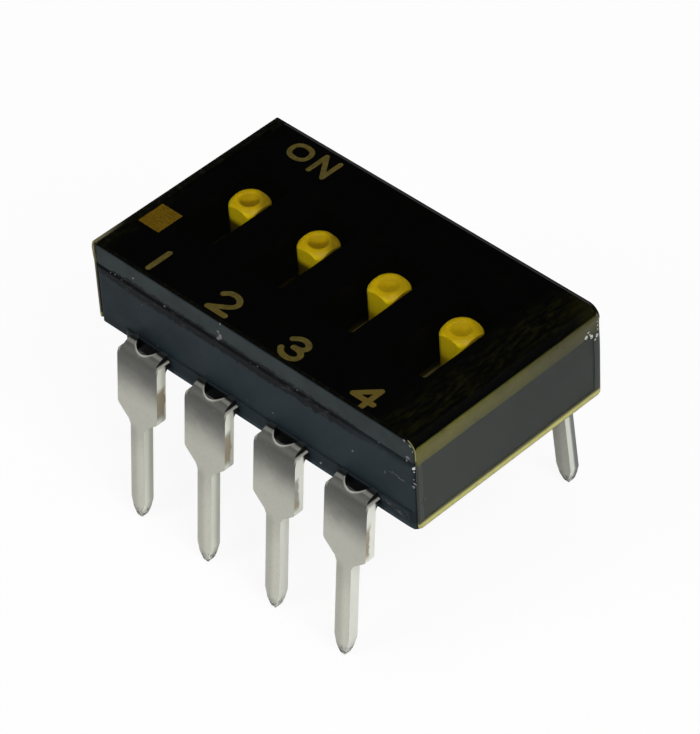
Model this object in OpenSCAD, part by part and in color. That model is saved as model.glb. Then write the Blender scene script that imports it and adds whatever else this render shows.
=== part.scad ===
// Four-way slide DIP switch with recessed sliders, sealed by a film over the top.
// Millimetres. Z = 0 is the underside of the housing, where it sits on the board.
// X runs along the row from switch 1 to switch 4. +Y is the ON side.
// The origin is the middle of the lead grid at the seating plane.

/* [Housing] */
// Width of the housing across the leads
body_w = 6.78; // [6.6:0.02:6.86]
// Height of the housing from the board to the top of the cover
body_h = 2.95; // [2.85:0.05:3.3]
// Housing length past the centre of the outer leads, at each end
end_margin = 1.94; // [1.9:0.01:2.3]
// Height of the cover above the seam
cover_h = 0.7; // [0.62:0.01:0.8]
// Radius of the upright corners
corner_r = 0.16; // [0.1:0.01:0.25]
// How far the foot stands out below the lead line
foot_out = 0.05; // [0.02:0.01:0.05]
// How far the foot stops short of the pin 1 end
foot_step = 0.85; // [0.6:0.05:1]
// How much higher the pin 1 end sits than the foot
end_lift = 0.22; // [0.1:0.02:0.26]
// Chamfer round the top and along the seam
edge_ch = 0.07; // [0.03:0.01:0.08]
// Radius along the cover's top edge at the two ends
end_round = 0.3; // [0.1:0.01:0.32]
// Radius of the foot's corners
foot_r = 0.3; // [0.2:0.02:0.4]
// Wall of the base round the cavity
wall = 0.55; // [0.45:0.05:0.6]

/* [Switches] */
// Distance from one switch to the next
pitch = 2.54; // [2.5:0.01:2.6]
// How far the windows stand towards the pin 1 end from the middle of the leads
window_shift = 0.2; // [0:0.02:0.2]
// Width of the window in the cover
slot_w = 1.34; // [1.25:0.01:1.4]
// Length of the window in the cover
slot_l = 2.9; // [2.8:0.05:3]
// Radius in the corners of the window
slot_r = 0.1; // [0.05:0.01:0.2]
// Width of the square knob
knob_w = 0.94; // [0.9:0.01:1.1]
// Radius of the knob's upright edges
knob_r = 0.22; // [0.15:0.01:0.4]
// How far the knob stays below the top of the cover
knob_drop = 0.11; // [0.06:0.01:0.4]
// Radius of the flat on top of the knob
knob_flat_r = 0.36; // [0.3:0.01:0.38]
// Radius between that flat and the knob's sides
knob_edge_r = 0.22; // [0.1:0.01:0.24]
// Depth of the hollow in the flat
dish_h = 0.06; // [0.02:0.01:0.08]
// How far the slider moves between ON and OFF
travel = 1.2; // [1:0.05:1.25]
// Width of the slider's foot plate
plate_w = 1.84; // [1.7:0.02:1.9]
// Length of the slider's foot plate
plate_l = 2.3; // [2.2:0.05:2.4]
// Thickness of the slider's foot plate
plate_t = 0.5; // [0.45:0.01:0.55]
// Height of the top of the foot plate above the chamber floor
plate_rise = 0.9; // [0.88:0.01:1]
// Plastic left above the pocket in the foot plate
pocket_roof = 0.2; // [0.15:0.01:0.22]
// Room round the sliding contact in its pocket
pocket_room = 0.1; // [0.08:0.01:0.12]

/* [Leads] */
// Distance between the two rows of leads at the board
row_w = 7.62; // [7.6:0.02:7.8]
// Thickness of the lead strip
lead_t = 0.32; // [0.25:0.01:0.32]
// Width of the part that goes through the board
lead_w = 0.52; // [0.45:0.01:0.6]
// Width of the shoulder
shoulder_w = 1.5; // [1.35:0.01:1.6]
// Width of the strip where it enters the housing
strap_w = 1.28; // [1.1:0.01:1.32]
// Length of the leads below the board side of the housing
lead_len = 4.95; // [3:0.05:5.2]
// Length of the shoulder at full width below the housing
shoulder_l = 1.4; // [1.2:0.05:1.6]
// Height of the top of the strip at the exit
lead_z = 0.58; // [0.58:0.01:0.64]
// Radius inside the bend
bend_r = 0.15; // [0.12:0.01:0.16]
// Outward lean of the leads, in degrees
splay = 5.6; // [2:0.1:6]
// Length of the taper at the tip
tip_taper = 0.6; // [0.4:0.02:0.8]
// Half the width left at the very tip
tip_half = 0.08; // [0.06:0.01:0.12]
// Height of the taper below the shoulder
shoulder_taper = 0.38; // [0.3:0.02:0.5]
// Radius of the hole through the strip just before the bend
bend_hole_r = 0.4; // [0.3:0.01:0.42]
// How far the middle of that hole lies inside the housing wall
hole_in = 0.07; // [0.02:0.01:0.15]

/* [Contacts] */
// Thickness of the sliding contact's strip
spring_t = 0.1; // [0.08:0.01:0.12]
// Width of the sliding contact
spring_w = 0.86; // [0.7:0.02:0.88]
// Distance from the middle of the contact to each of its two tips
tip_reach = 0.85; // [0.8:0.01:0.88]
// Length of the flat web between the contact's two arms
web_l = 0.9; // [0.8:0.02:1]
// Radius of the peg that holds the sliding contact
peg_r = 0.17; // [0.12:0.01:0.2]
// Width of the fork in each arm
fork_w = 0.14; // [0.1:0.01:0.2]
// Gap in the fixed contacts under each switch
pad_gap = 0.6; // [0.5:0.05:0.65]

/* [Seal] */
// Thickness of the film over the top
film_t = 0.06; // [0.05:0.005:0.1]
// How far the film stops short of each long side
film_in = 0.03; // [0.02:0.01:0.1]
// Radius of the film's corners on the folded ends
film_corner_r = 0.08; // [0.05:0.01:0.25]
// How far the folded ends stop above the housing's underside
film_up = 0.08; // [0.05:0.01:0.2]
// Thickness of the resin layer under the base
resin_t = 0.18; // [0.1:0.02:0.2]

/* [Hidden] */

// colours of the working view
slider_yellow = [0.8, 0.7, 0.15];
gold = [0.8, 0.6, 0.2];
tin = [0.7, 0.7, 0.66];

$fn = 48;
count = 4;
eps = 0.01;
row_l = (count - 1) * pitch;
body_l = row_l + 2 * end_margin;
seam_z = body_h - cover_h;
function lead_x(n) = (n - 1) * pitch - row_l / 2;
function switch_x(n) = lead_x(n) - window_shift;

// running clearances
run_gap = 0.03;
fit_gap = 0.02;
tip_gap = 0.02;

// stack of the mechanism, from the chamber floor up
floor_z = lead_z;
knob_top = body_h - knob_drop;
plate_top = floor_z + plate_rise;
plate_z = plate_top - plate_t;
plug_z = plate_top + run_gap;
on_y = travel / 2;

// cavity that takes the cover's plug, and one chamber under each window
cavity_l = body_l - 2 * wall;
cavity_w = body_w - 2 * wall;
chamber_w = plate_w + 2 * run_gap;
chamber_l = plate_l + travel + 2 * run_gap;

// sliding contact, in the pocket under the plate
pocket_w = spring_w + 2 * pocket_room;
pocket_l = 2 * tip_reach + 3 * pocket_room;
pocket_h = plate_t - pocket_roof;
web_top = plate_z + pocket_h;
tip_r = spring_t * 0.8;

// bend of the leads
bend_ro = bend_r + lead_t;
bend_mid = bend_r + lead_t / 2;
bend_z = lead_z - bend_ro;
bend_y = row_w / 2 - bend_mid / cos(splay) - bend_z * tan(splay);
exit_y = body_w / 2 + foot_out;

// inner ends of the leads: each tip lands this far inside its own contact
land = 0.15;
pad_edge = -(on_y - tip_reach + land);
hole_y = exit_y - hole_in;

// recess for the resin
resin_gap = 0.04;
resin_l0 = -body_l / 2 + foot_step + 0.5;
resin_l1 = body_l / 2 - 0.5;
resin_w = body_w - 1.1;

// ---- shared shapes ----

module rounded_rect(l, w, r) {
    // rectangle with round corners, centred
    difference() {
        square([l, w], center = true);
        for (sx = [-1, 1], sy = [-1, 1])
            translate([sx * (l / 2 - r), sy * (w / 2 - r)])
                difference() {
                    translate([sx > 0 ? 0 : -r - eps, sy > 0 ? 0 : -r - eps])
                        square(r + eps);
                    circle(r);
                }
    }
}

module side_bevel(l, z0, z1, bottom, top, depth) {
    // long prism whose two long edges are bevelled, running along Y
    rotate([90, 0, 0])
        linear_extrude(depth, center = true)
            polygon([
                [-l / 2 + bottom, z0], [l / 2 - bottom, z0], [l / 2, z0 + bottom],
                [l / 2, z1 - top], [l / 2 - top, z1], [-l / 2 + top, z1],
                [-l / 2, z1 - top], [-l / 2, z0 + bottom]
            ]);
}

module bevelled_block(l, w, z0, z1, bottom, top) {
    // block with round upright corners and bevels along its lower and upper edges
    intersection() {
        translate([0, 0, z0])
            linear_extrude(z1 - z0)
                rounded_rect(l, w, corner_r);
        side_bevel(l, z0, z1, bottom, top, w + 1);
        rotate([0, 0, 90])
            side_bevel(w, z0, z1, bottom, top, l + 1);
    }
}

// ---- housing ----

module foot_outline() {
    // outline of the foot: square at the pin 1 step, round at the other end
    foot_l = body_l - foot_step;
    translate([foot_step / 2, 0])
        rounded_rect(foot_l, body_w + 2 * foot_out, foot_r);
}

module base_block() {
    // upper block, a little higher above the board than the foot
    bevelled_block(body_l, body_w, end_lift, seam_z, edge_ch, edge_ch);
    intersection() {
        linear_extrude(lead_z)
            foot_outline();
        rotate([0, 0, 90])
            side_bevel(body_w + 2 * foot_out, 0, lead_z, edge_ch, 0.02, body_l + 1);
    }
}

module base() {
    color([0.16, 0.18, 0.2])
    difference() {
        base_block();
        // seat of the cover's plug
        translate([0, 0, plug_z - run_gap])
            linear_extrude(body_h)
                rounded_rect(cavity_l, cavity_w, corner_r);
        // chamber of each switch
        for (n = [1 : count])
            translate([switch_x(n), 0, floor_z])
                linear_extrude(body_h)
                    rounded_rect(chamber_w, chamber_l, 0.08);
        // moulded round the leads
        for (n = [1 : count])
            translate([lead_x(n), 0, 0]) {
                lead(on_side = true);
                lead(on_side = false);
            }
        // recess for the resin
        translate([resin_l0, -resin_w / 2, -eps])
            cube([resin_l1 - resin_l0, resin_w, resin_gap + resin_t + eps]);
    }
}

module cover() {
    color([0.09, 0.09, 0.1])
    difference() {
        union() {
            difference() {
                bevelled_block(body_l, body_w, seam_z, body_h, edge_ch, edge_ch);
                end_rounding(body_l, body_h, end_round);
            }
            // plug that fills the cavity down to the sliders
            translate([0, 0, plug_z])
                linear_extrude(seam_z - plug_z + eps)
                    rounded_rect(cavity_l - 2 * fit_gap, cavity_w - 2 * fit_gap, corner_r);
        }
        // one window for each knob
        for (n = [1 : count])
            translate([switch_x(n), 0, 0])
                linear_extrude(body_h + 1)
                    rounded_rect(slot_w, slot_l, slot_r);
    }
}

module end_rounding(l, z, r) {
    // what is taken off the two end edges of a block whose top is at z
    for (s = [-1, 1])
        translate([s * (l / 2 - r), 0, z - r])
            difference() {
                translate([s > 0 ? 0 : -r - 1, -body_w, 0])
                    cube([r + 1, 2 * body_w, r + 1]);
                rotate([90, 0, 0])
                    cylinder(h = 2 * body_w + 1, r = r, center = true);
            }
}

module bottom_seal() {
    color([0.05, 0.05, 0.05])
    translate([resin_l0, -resin_w / 2, resin_gap])
        cube([resin_l1 - resin_l0, resin_w, resin_t]);
}

module seal_tape() {
    // one strip of film over the top, folded down both end faces
    film_l = body_l + 2 * film_t;
    film_w = body_w - 2 * film_in;
    color([0.75, 0.5, 0.1, 0.5])
    intersection() {
        rotate([90, 0, 0])
            linear_extrude(film_w, center = true)
                difference() {
                    translate([0, body_h + film_t - 4])
                        rounded_top(film_l, 4, end_round + film_t);
                    translate([0, body_h - 5])
                        rounded_top(body_l, 5, end_round);
                    // cut short above the board, and higher at the pin 1 end
                    translate([-film_l, -4])
                        square([2 * film_l, 4 + film_up]);
                    translate([-film_l, -4])
                        square([film_l, 4 + end_lift + film_up]);
                }
        // clipped lower corners on the folded ends
        rotate([90, 0, 90])
            linear_extrude(2 * film_l, center = true)
                translate([0, film_up + body_h / 2 + 0.1])
                    rounded_rect(film_w, body_h + 0.2, film_corner_r);
    }
}

module rounded_top(l, h, r) {
    // rectangle standing on Y = 0 with its two upper corners round
    translate([-l / 2, 0])
        square([l, h - r]);
    translate([-l / 2 + r, 0])
        square([l - 2 * r, h]);
    for (s = [-1, 1])
        translate([s * (l / 2 - r), h - r])
            circle(r);
}

// ---- sliders ----

module slider() {
    // knob on a foot plate, with a pocket and a peg below for the sliding contact
    difference() {
        union() {
            translate([0, 0, plate_z])
                linear_extrude(plate_t)
                    rounded_rect(plate_w, plate_l, 0.08);
            intersection() {
                translate([0, 0, plate_top - eps])
                    linear_extrude(knob_top - plate_top + eps)
                        rounded_rect(knob_w, knob_w, knob_r);
                // round flat on top, with a wide radius down to the sides
                union() {
                    translate([0, 0, plate_z])
                        cylinder(h = knob_top - plate_z, r = knob_flat_r);
                    translate([0, 0, plate_z])
                        cylinder(h = knob_top - knob_edge_r - plate_z, r = knob_flat_r + knob_edge_r);
                    translate([0, 0, knob_top - knob_edge_r])
                        rotate_extrude()
                            translate([knob_flat_r, 0])
                                circle(knob_edge_r);
                }
            }
        }
        // hollow in the top of the knob
        dish_r = (pow(knob_flat_r - 0.04, 2) + pow(dish_h, 2)) / (2 * dish_h);
        translate([0, 0, knob_top - dish_h + dish_r])
            sphere(dish_r, $fn = 96);
        // pocket under the plate
        translate([-pocket_w / 2, -pocket_l / 2, plate_z - eps])
            cube([pocket_w, pocket_l, pocket_h + eps]);
    }
    translate([0, 0, plate_z + 0.05])
        cylinder(h = pocket_h, r = peg_r);
}

module contact() {
    // bridging spring: a flat web staked to the slider, two arms down to rounded tips, each arm forked
    difference() {
        union() {
            translate([-spring_w / 2, -web_l / 2, web_top - spring_t])
                cube([spring_w, web_l, spring_t]);
            for (s = [-1, 1]) {
                across(spring_w)
                    polygon([
                        [s * (web_l / 2 - 0.12), web_top],
                        [s * (web_l / 2), web_top],
                        [s * (tip_reach + tip_r * 0.7), floor_z + tip_gap + tip_r * 1.7],
                        [s * (tip_reach - tip_r * 0.7), floor_z + tip_gap + tip_r * 0.3],
                        [s * (web_l / 2 - 0.12), web_top - spring_t]
                    ]);
                translate([0, s * tip_reach, floor_z + tip_gap + tip_r])
                    rotate([0, 90, 0])
                        cylinder(h = spring_w, r = tip_r, center = true);
            }
        }
        // hole over the slider's peg
        translate([0, 0, plate_z])
            cylinder(h = plate_t, r = peg_r);
        // fork of each arm
        for (s = [-1, 1])
            mirror([0, s > 0 ? 0 : 1, 0])
                translate([-fork_w / 2, web_l / 2 - spring_t / 2, 0])
                    cube([fork_w, tip_reach, body_h]);
    }
}

// ---- leads ----

module across(width) {
    // side outline, drawn as Y against Z, made solid along X
    rotate([90, 0, 90])
        linear_extrude(width, center = true)
            children();
}

module along(depth) {
    // front outline, drawn as X against Z, made solid along Y
    rotate([90, 0, 0])
        linear_extrude(depth, center = true)
            children();
}

module lead_front() {
    // everything in front view: strap, round upper corners, shoulder, taper, narrow part and point
    low = -lead_len;
    hw = lead_w / 2;
    sw = shoulder_w / 2;
    tw = strap_w / 2;
    corner = sw - tw;
    corner_z = lead_z - 0.15 - corner;
    taper_z = -shoulder_l - shoulder_taper;
    depth = 4 * row_w;
    along(depth)
        polygon([
            [-sw, corner_z], [-sw, -shoulder_l + 0.05], [-sw + 0.04, -shoulder_l - 0.03],
            [-hw - 0.07, taper_z + 0.03], [-hw, taper_z - 0.12], [-hw, low + tip_taper],
            [-1.5 * tip_half, low + tip_half], [-tip_half, low],
            [tip_half, low], [1.5 * tip_half, low + tip_half],
            [hw, low + tip_taper], [hw, taper_z - 0.12], [hw + 0.07, taper_z + 0.03],
            [sw - 0.04, -shoulder_l - 0.03], [sw, -shoulder_l + 0.05], [sw, corner_z]
        ]);
    translate([-tw, -depth / 2, corner_z - 0.3])
        cube([strap_w, depth, lead_z + 0.5 - corner_z]);
    for (s = [-1, 1])
        translate([s * tw, 0, corner_z])
            rotate([90, 0, 0])
                cylinder(h = depth, r = corner, center = true);
}

module lead_side(inner) {
    // everything in side view: inner end, bend and leaning leg
    width = shoulder_w + 1;
    translate([-width / 2, inner, lead_z - lead_t])
        cube([width, bend_y - inner, lead_t]);
    translate([0, bend_y, bend_z])
        intersection() {
            rotate([0, 90, 0])
                difference() {
                    cylinder(h = width, r = bend_ro, center = true);
                    cylinder(h = width + 1, r = bend_r, center = true);
                }
            // from the level strap round to the lean of the leg
            intersection() {
                translate([-width, -eps, -1])
                    cube([2 * width, bend_ro + 1, bend_ro + 2]);
                rotate([splay, 0, 0])
                    translate([-width, -1, -eps])
                        cube([2 * width, bend_ro + 2, bend_ro + 2]);
            }
        }
    translate([0, bend_y, bend_z])
        rotate([splay, 0, 0])
            across(width)
                leg_strip();
}

module leg_strip() {
    // straight leg below the bend, thinned at the point
    reach = lead_len + bend_z + 0.1;
    tip = reach - 0.1 - 0.22;
    polygon([
        [bend_r, 0], [bend_ro, 0], [bend_ro, -tip], [bend_ro - 0.07, -reach],
        [bend_r + 0.07, -reach], [bend_r, -tip]
    ]);
}

module lead(on_side) {
    // one stamped lead, on the ON side or on the numbered side
    inner = on_side ? pad_gap - pad_edge : pad_edge;
    mirror([0, on_side ? 0 : 1, 0])
        difference() {
            intersection() {
                lead_side(inner);
                lead_front();
            }
            // hole beside the bend, more than half of it in the housing wall
            translate([0, hole_y, lead_z - lead_t - eps])
                cylinder(h = lead_t + 1, r = bend_hole_r);
        }
}

// ---- sub-parts ----

module slider_1() {
    color(slider_yellow)
    translate([switch_x(1), on_y, 0])
        slider();
}

module slider_2() {
    color(slider_yellow)
    translate([switch_x(2), on_y, 0])
        slider();
}

module slider_3() {
    color(slider_yellow)
    translate([switch_x(3), on_y, 0])
        slider();
}

module slider_4() {
    color(slider_yellow)
    translate([switch_x(4), on_y, 0])
        slider();
}

module contact_1() {
    color(gold)
    translate([switch_x(1), on_y, 0])
        contact();
}

module contact_2() {
    color(gold)
    translate([switch_x(2), on_y, 0])
        contact();
}

module contact_3() {
    color(gold)
    translate([switch_x(3), on_y, 0])
        contact();
}

module contact_4() {
    color(gold)
    translate([switch_x(4), on_y, 0])
        contact();
}

// leads 1 to 4 are on the numbered side, 5 to 8 come back along the ON side

module terminal_1() {
    color(tin)
    translate([lead_x(1), 0, 0])
        lead(on_side = false);
}

module terminal_2() {
    color(tin)
    translate([lead_x(2), 0, 0])
        lead(on_side = false);
}

module terminal_3() {
    color(tin)
    translate([lead_x(3), 0, 0])
        lead(on_side = false);
}

module terminal_4() {
    color(tin)
    translate([lead_x(4), 0, 0])
        lead(on_side = false);
}

module terminal_5() {
    color(tin)
    translate([lead_x(4), 0, 0])
        lead(on_side = true);
}

module terminal_6() {
    color(tin)
    translate([lead_x(3), 0, 0])
        lead(on_side = true);
}

module terminal_7() {
    color(tin)
    translate([lead_x(2), 0, 0])
        lead(on_side = true);
}

module terminal_8() {
    color(tin)
    translate([lead_x(1), 0, 0])
        lead(on_side = true);
}

base();
cover();
seal_tape();
bottom_seal();
slider_1();
slider_2();
slider_3();
slider_4();
contact_1();
contact_2();
contact_3();
contact_4();
terminal_1();
terminal_2();
terminal_3();
terminal_4();
terminal_5();
terminal_6();
terminal_7();
terminal_8();
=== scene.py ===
"""Dresses the solids of a sealed four-way slide DIP switch: moulded plastics, tinned leads, amber film,
printed characters, small marks of use, and the stage they are shown on. Lengths are in metres in the
settings, and in millimetres in the helpers until a mesh is made."""

import math
import random

import bmesh
import bpy
import numpy as np
from bpy.props import FloatProperty, FloatVectorProperty, IntProperty, PointerProperty
from mathutils import Matrix, Vector, noise
from mathutils.geometry import delaunay_2d_cdt


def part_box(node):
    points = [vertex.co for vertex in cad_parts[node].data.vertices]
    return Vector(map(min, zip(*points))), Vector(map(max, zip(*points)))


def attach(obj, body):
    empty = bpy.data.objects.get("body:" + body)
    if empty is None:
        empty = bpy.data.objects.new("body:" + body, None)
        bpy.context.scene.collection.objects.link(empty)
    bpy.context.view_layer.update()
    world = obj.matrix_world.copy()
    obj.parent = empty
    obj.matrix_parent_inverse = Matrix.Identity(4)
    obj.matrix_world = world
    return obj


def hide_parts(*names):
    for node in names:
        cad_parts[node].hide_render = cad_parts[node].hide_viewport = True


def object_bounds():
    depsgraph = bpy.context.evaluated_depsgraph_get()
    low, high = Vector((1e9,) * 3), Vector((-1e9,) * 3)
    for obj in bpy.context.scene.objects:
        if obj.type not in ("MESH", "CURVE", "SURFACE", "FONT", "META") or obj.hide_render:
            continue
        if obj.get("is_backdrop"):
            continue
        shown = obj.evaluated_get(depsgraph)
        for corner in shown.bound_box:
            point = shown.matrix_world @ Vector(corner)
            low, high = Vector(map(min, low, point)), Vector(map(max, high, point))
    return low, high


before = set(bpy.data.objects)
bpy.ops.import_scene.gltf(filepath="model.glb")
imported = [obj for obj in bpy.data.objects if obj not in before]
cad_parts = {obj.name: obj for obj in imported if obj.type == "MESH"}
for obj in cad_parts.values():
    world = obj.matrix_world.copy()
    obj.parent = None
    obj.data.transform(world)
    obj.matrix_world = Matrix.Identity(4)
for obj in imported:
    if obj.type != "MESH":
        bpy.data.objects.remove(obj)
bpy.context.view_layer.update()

bl_info = {
    "name": "Four-way DIP switch",
    "version": (1, 0, 0),
    "blender": (4, 5, 0),
    "location": "3D View > Sidebar > DIP switch",
    "description": "Materials, film, printing and marks of use for a sealed slide DIP switch",
    "category": "Object",
}

MM = 0.001


def node_box(name):
    """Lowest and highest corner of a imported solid, in millimetres."""
    low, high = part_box(name)
    return low / MM, high / MM


# ---- sizes taken from the solids, or fitted to them, in millimetres ----

COVER_LOW, COVER_HIGH = node_box("cover")
BASE_LOW, BASE_HIGH = node_box("base")
FILM_LOW, FILM_HIGH = node_box("seal_tape")
TOP_Z = COVER_HIGH.z
SEAM_Z = BASE_HIGH.z

PITCH = 2.54
SWITCHES = (1, 2, 3, 4)
SWITCH_1_X = sum(c.x for c in node_box("slider_1")) / 2
ON_Y = sum(c.y for c in node_box("slider_1")) / 2
# top of the sliders' foot plates
PLATE_TOP = 1.48

LEADS = range(1, 9)
LEAD_1_X = sum(c.x for c in node_box("terminal_1")) / 2
LEAD_TOP = node_box("terminal_1")[1].z
# middle of the strip at the board, and its slope outward on the way down
LEAD_Y = 3.81
LEAD_LEAN = 0.098
# hole in the bend of each lead
HOLE_RADIUS = 0.4
HOLE_Y = BASE_HIGH.y - 0.07

# the film at the pin 1 end: its lower edge, and the radius of its fold
FILM_START_LEFT = 0.30
FILM_FOLD_LEFT = 0.12
# height of the amber strip along the film's lower edges, and of the top of the olive part of the folds
AMBER_RISE = 0.2
OLIVE_TOP = TOP_Z - 0.15
# height above which the film's cut rim shows pale amber
RIM_START = SEAM_Z + 0.2
# share of a quarter turn over which the film's columns bunch up towards its long edges
BUNCHING = 0.86
# dents in the film at the switch 4 end: y, z, reach, depth
FILM_DENTS = ((3.05, 2.25, 0.35, 0.03), (3.28, 2.55, 0.25, 0.02), (-3.17, 0.9, 0.25, 0.012))

# the print lies on the cover, under the film
PRINT_LOW, PRINT_HIGH = TOP_Z + 0.0006, TOP_Z + 0.0038

# near black of the painted shadows on the base behind the leads and in their holes
DEEP_BLACK = (0.0008, 0.0008, 0.0008)
DUST = (0.17, 0.18, 0.185)


# ---- settings, with lengths in metres ----

COLOUR = {"subtype": "COLOR", "size": 3, "min": 0, "max": 1}
LENGTH = {"subtype": "DISTANCE", "unit": "LENGTH"}


class DipFilmSettings(bpy.types.PropertyGroup):
    """Amber film over the top and both ends"""

    thickness: FloatProperty(
        name="Thickness", description="Thickness of the film",
        default=0.055 * MM, min=0.02 * MM, max=0.055 * MM, **LENGTH,
    )
    fold_radius: FloatProperty(
        name="Fold radius", description="Outer radius where the film folds over the switch 4 end",
        default=0.36 * MM, min=0.33 * MM, max=0.38 * MM, **LENGTH,
    )
    corner_radius: FloatProperty(
        name="Corner radius", description="Radius of the film's corners on the folded ends",
        default=0.08 * MM, min=0.03 * MM, max=0.3 * MM, **LENGTH,
    )
    sheet_colour: FloatVectorProperty(
        name="Sheet colour", description="Colour of the film where it lies flat",
        default=(0.003, 0.003, 0.0022), **COLOUR,
    )
    loose_colour: FloatVectorProperty(
        name="Loose colour", description="Olive colour of the film where air is under it",
        default=(0.125, 0.118, 0.018), **COLOUR,
    )
    # the cut edges' amber is painted bright for the glow of light through them
    edge_colour: FloatVectorProperty(
        name="Edge colour", description="Amber colour of the cut edges",
        default=(0.55, 0.52, 0.13), **COLOUR,
    )


class DipPrintSettings(bpy.types.PropertyGroup):
    """Printed characters"""

    stroke: FloatProperty(
        name="Stroke", description="Half the width of a printed stroke",
        default=0.085 * MM, min=0.03 * MM, max=0.1 * MM, **LENGTH,
    )
    height: FloatProperty(
        name="Height", description="Height of the printed characters between stroke centres",
        default=0.74 * MM, min=0.5 * MM, max=0.9 * MM, **LENGTH,
    )
    colour: FloatVectorProperty(
        name="Ink", description="Colour of the ink",
        default=(0.124, 0.097, 0.024), **COLOUR,
    )


class DipPlasticSettings(bpy.types.PropertyGroup):
    """Moulded plastics"""

    slate: FloatVectorProperty(
        name="Base", description="Colour of the base's plastic",
        default=(0.0148, 0.0222, 0.0272), **COLOUR,
    )
    cover: FloatVectorProperty(
        name="Cover", description="Colour of the cover's sides",
        default=(0.028, 0.036, 0.038), **COLOUR,
    )
    knob: FloatVectorProperty(
        name="Knob", description="Colour of the sliders",
        default=(0.70, 0.475, 0.004), **COLOUR,
    )
    grain: FloatProperty(
        name="Grain", description="Fine texture of the mould, grains per millimetre",
        default=22, min=5, max=60,
    )


class DipMetalSettings(bpy.types.PropertyGroup):
    """Tinned leads and plated contacts"""

    tin: FloatVectorProperty(
        name="Tin", description="Colour of clean matte tin",
        default=(0.60, 0.60, 0.52), **COLOUR,
    )
    # the darkened tin colour stands for painted dark reflection and shade on the tin near the bends
    darkened: FloatVectorProperty(
        name="Dull tin", description="Colour of the tin where it is dull, near the bends",
        default=(0.115, 0.115, 0.105), **COLOUR,
    )
    gold: FloatVectorProperty(
        name="Gold", description="Colour of the sliding contacts' plating",
        default=(0.83, 0.58, 0.2), **COLOUR,
    )


class DipWearSettings(bpy.types.PropertyGroup):
    """Small marks of use"""

    seed: IntProperty(name="Seed", description="Where the loose specks fall", default=7, min=0)
    specks: IntProperty(
        name="Specks", description="Number of small specks of flash along the joint and the lead line",
        default=34, min=0, max=200,
    )


class DipStageSettings(bpy.types.PropertyGroup):
    """Floor, lamps and camera"""

    key: FloatProperty(
        name="Key level", description="Strength of the main soft lamp, 1 lights a facing surface plainly",
        default=0.62, min=0, soft_max=2,
    )
    fill: FloatProperty(
        name="Fill level", description="Strength of the two other soft lamps",
        default=0.35, min=0, soft_max=2,
    )
    sky: FloatProperty(
        name="Sky level", description="Strength of the even light from all round",
        default=0.02, min=0, soft_max=1,
    )
    floor_white: FloatProperty(
        name="Floor white", description="How much of the floor the camera sees as plain white",
        default=0.92, min=0, max=1, subtype="FACTOR",
    )
    focal_length: FloatProperty(
        name="Focal length", description="Focal length of the camera",
        default=205.43, min=20, max=300, unit="CAMERA",
    )


class DipSettings(bpy.types.PropertyGroup):
    """Everything that a user may change"""

    film: PointerProperty(type=DipFilmSettings)
    printing: PointerProperty(type=DipPrintSettings)
    plastic: PointerProperty(type=DipPlasticSettings)
    metal: PointerProperty(type=DipMetalSettings)
    wear: PointerProperty(type=DipWearSettings)
    stage: PointerProperty(type=DipStageSettings)


# ---- finishes ----


class Value:
    """What a node of a finish works out at each place. Sums and products can be written with it."""

    def __init__(self, finish, socket):
        self.finish, self.socket = finish, socket

    def output(self, name):
        """Another output of the same node."""
        return Value(self.finish, self.socket.node.outputs[name])

    def maths(self, operation, *others):
        return self.finish.add("ShaderNodeMath", enumerate((self, *others)), operation=operation)

    def __add__(self, other):
        return self.maths("ADD", other)

    def __sub__(self, other):
        return self.maths("SUBTRACT", other)

    def __mul__(self, other):
        return self.maths("MULTIPLY", other)

    def __abs__(self):
        return self.maths("ABSOLUTE")

    def line(self, slope, start):
        """Slope times the value, plus the start."""
        return self.maths("MULTIPLY_ADD", slope, start)

    def most(self, other):
        return self.maths("MAXIMUM", other)

    def above(self, limit):
        """1 where the value is above the limit, 0 elsewhere."""
        return self.maths("GREATER_THAN", limit)

    def below(self, limit):
        """1 where the value is below the limit, 0 elsewhere."""
        return self.maths("LESS_THAN", limit)

    def fade(self, start, end, low=0.0, high=1.0):
        """Smooth step from low at start to high at end."""
        inputs = {"Value": self, "From Min": start, "From Max": end, "To Min": low, "To Max": high}
        return self.finish.add("ShaderNodeMapRange", inputs, "Result", interpolation_type="SMOOTHSTEP")


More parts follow.
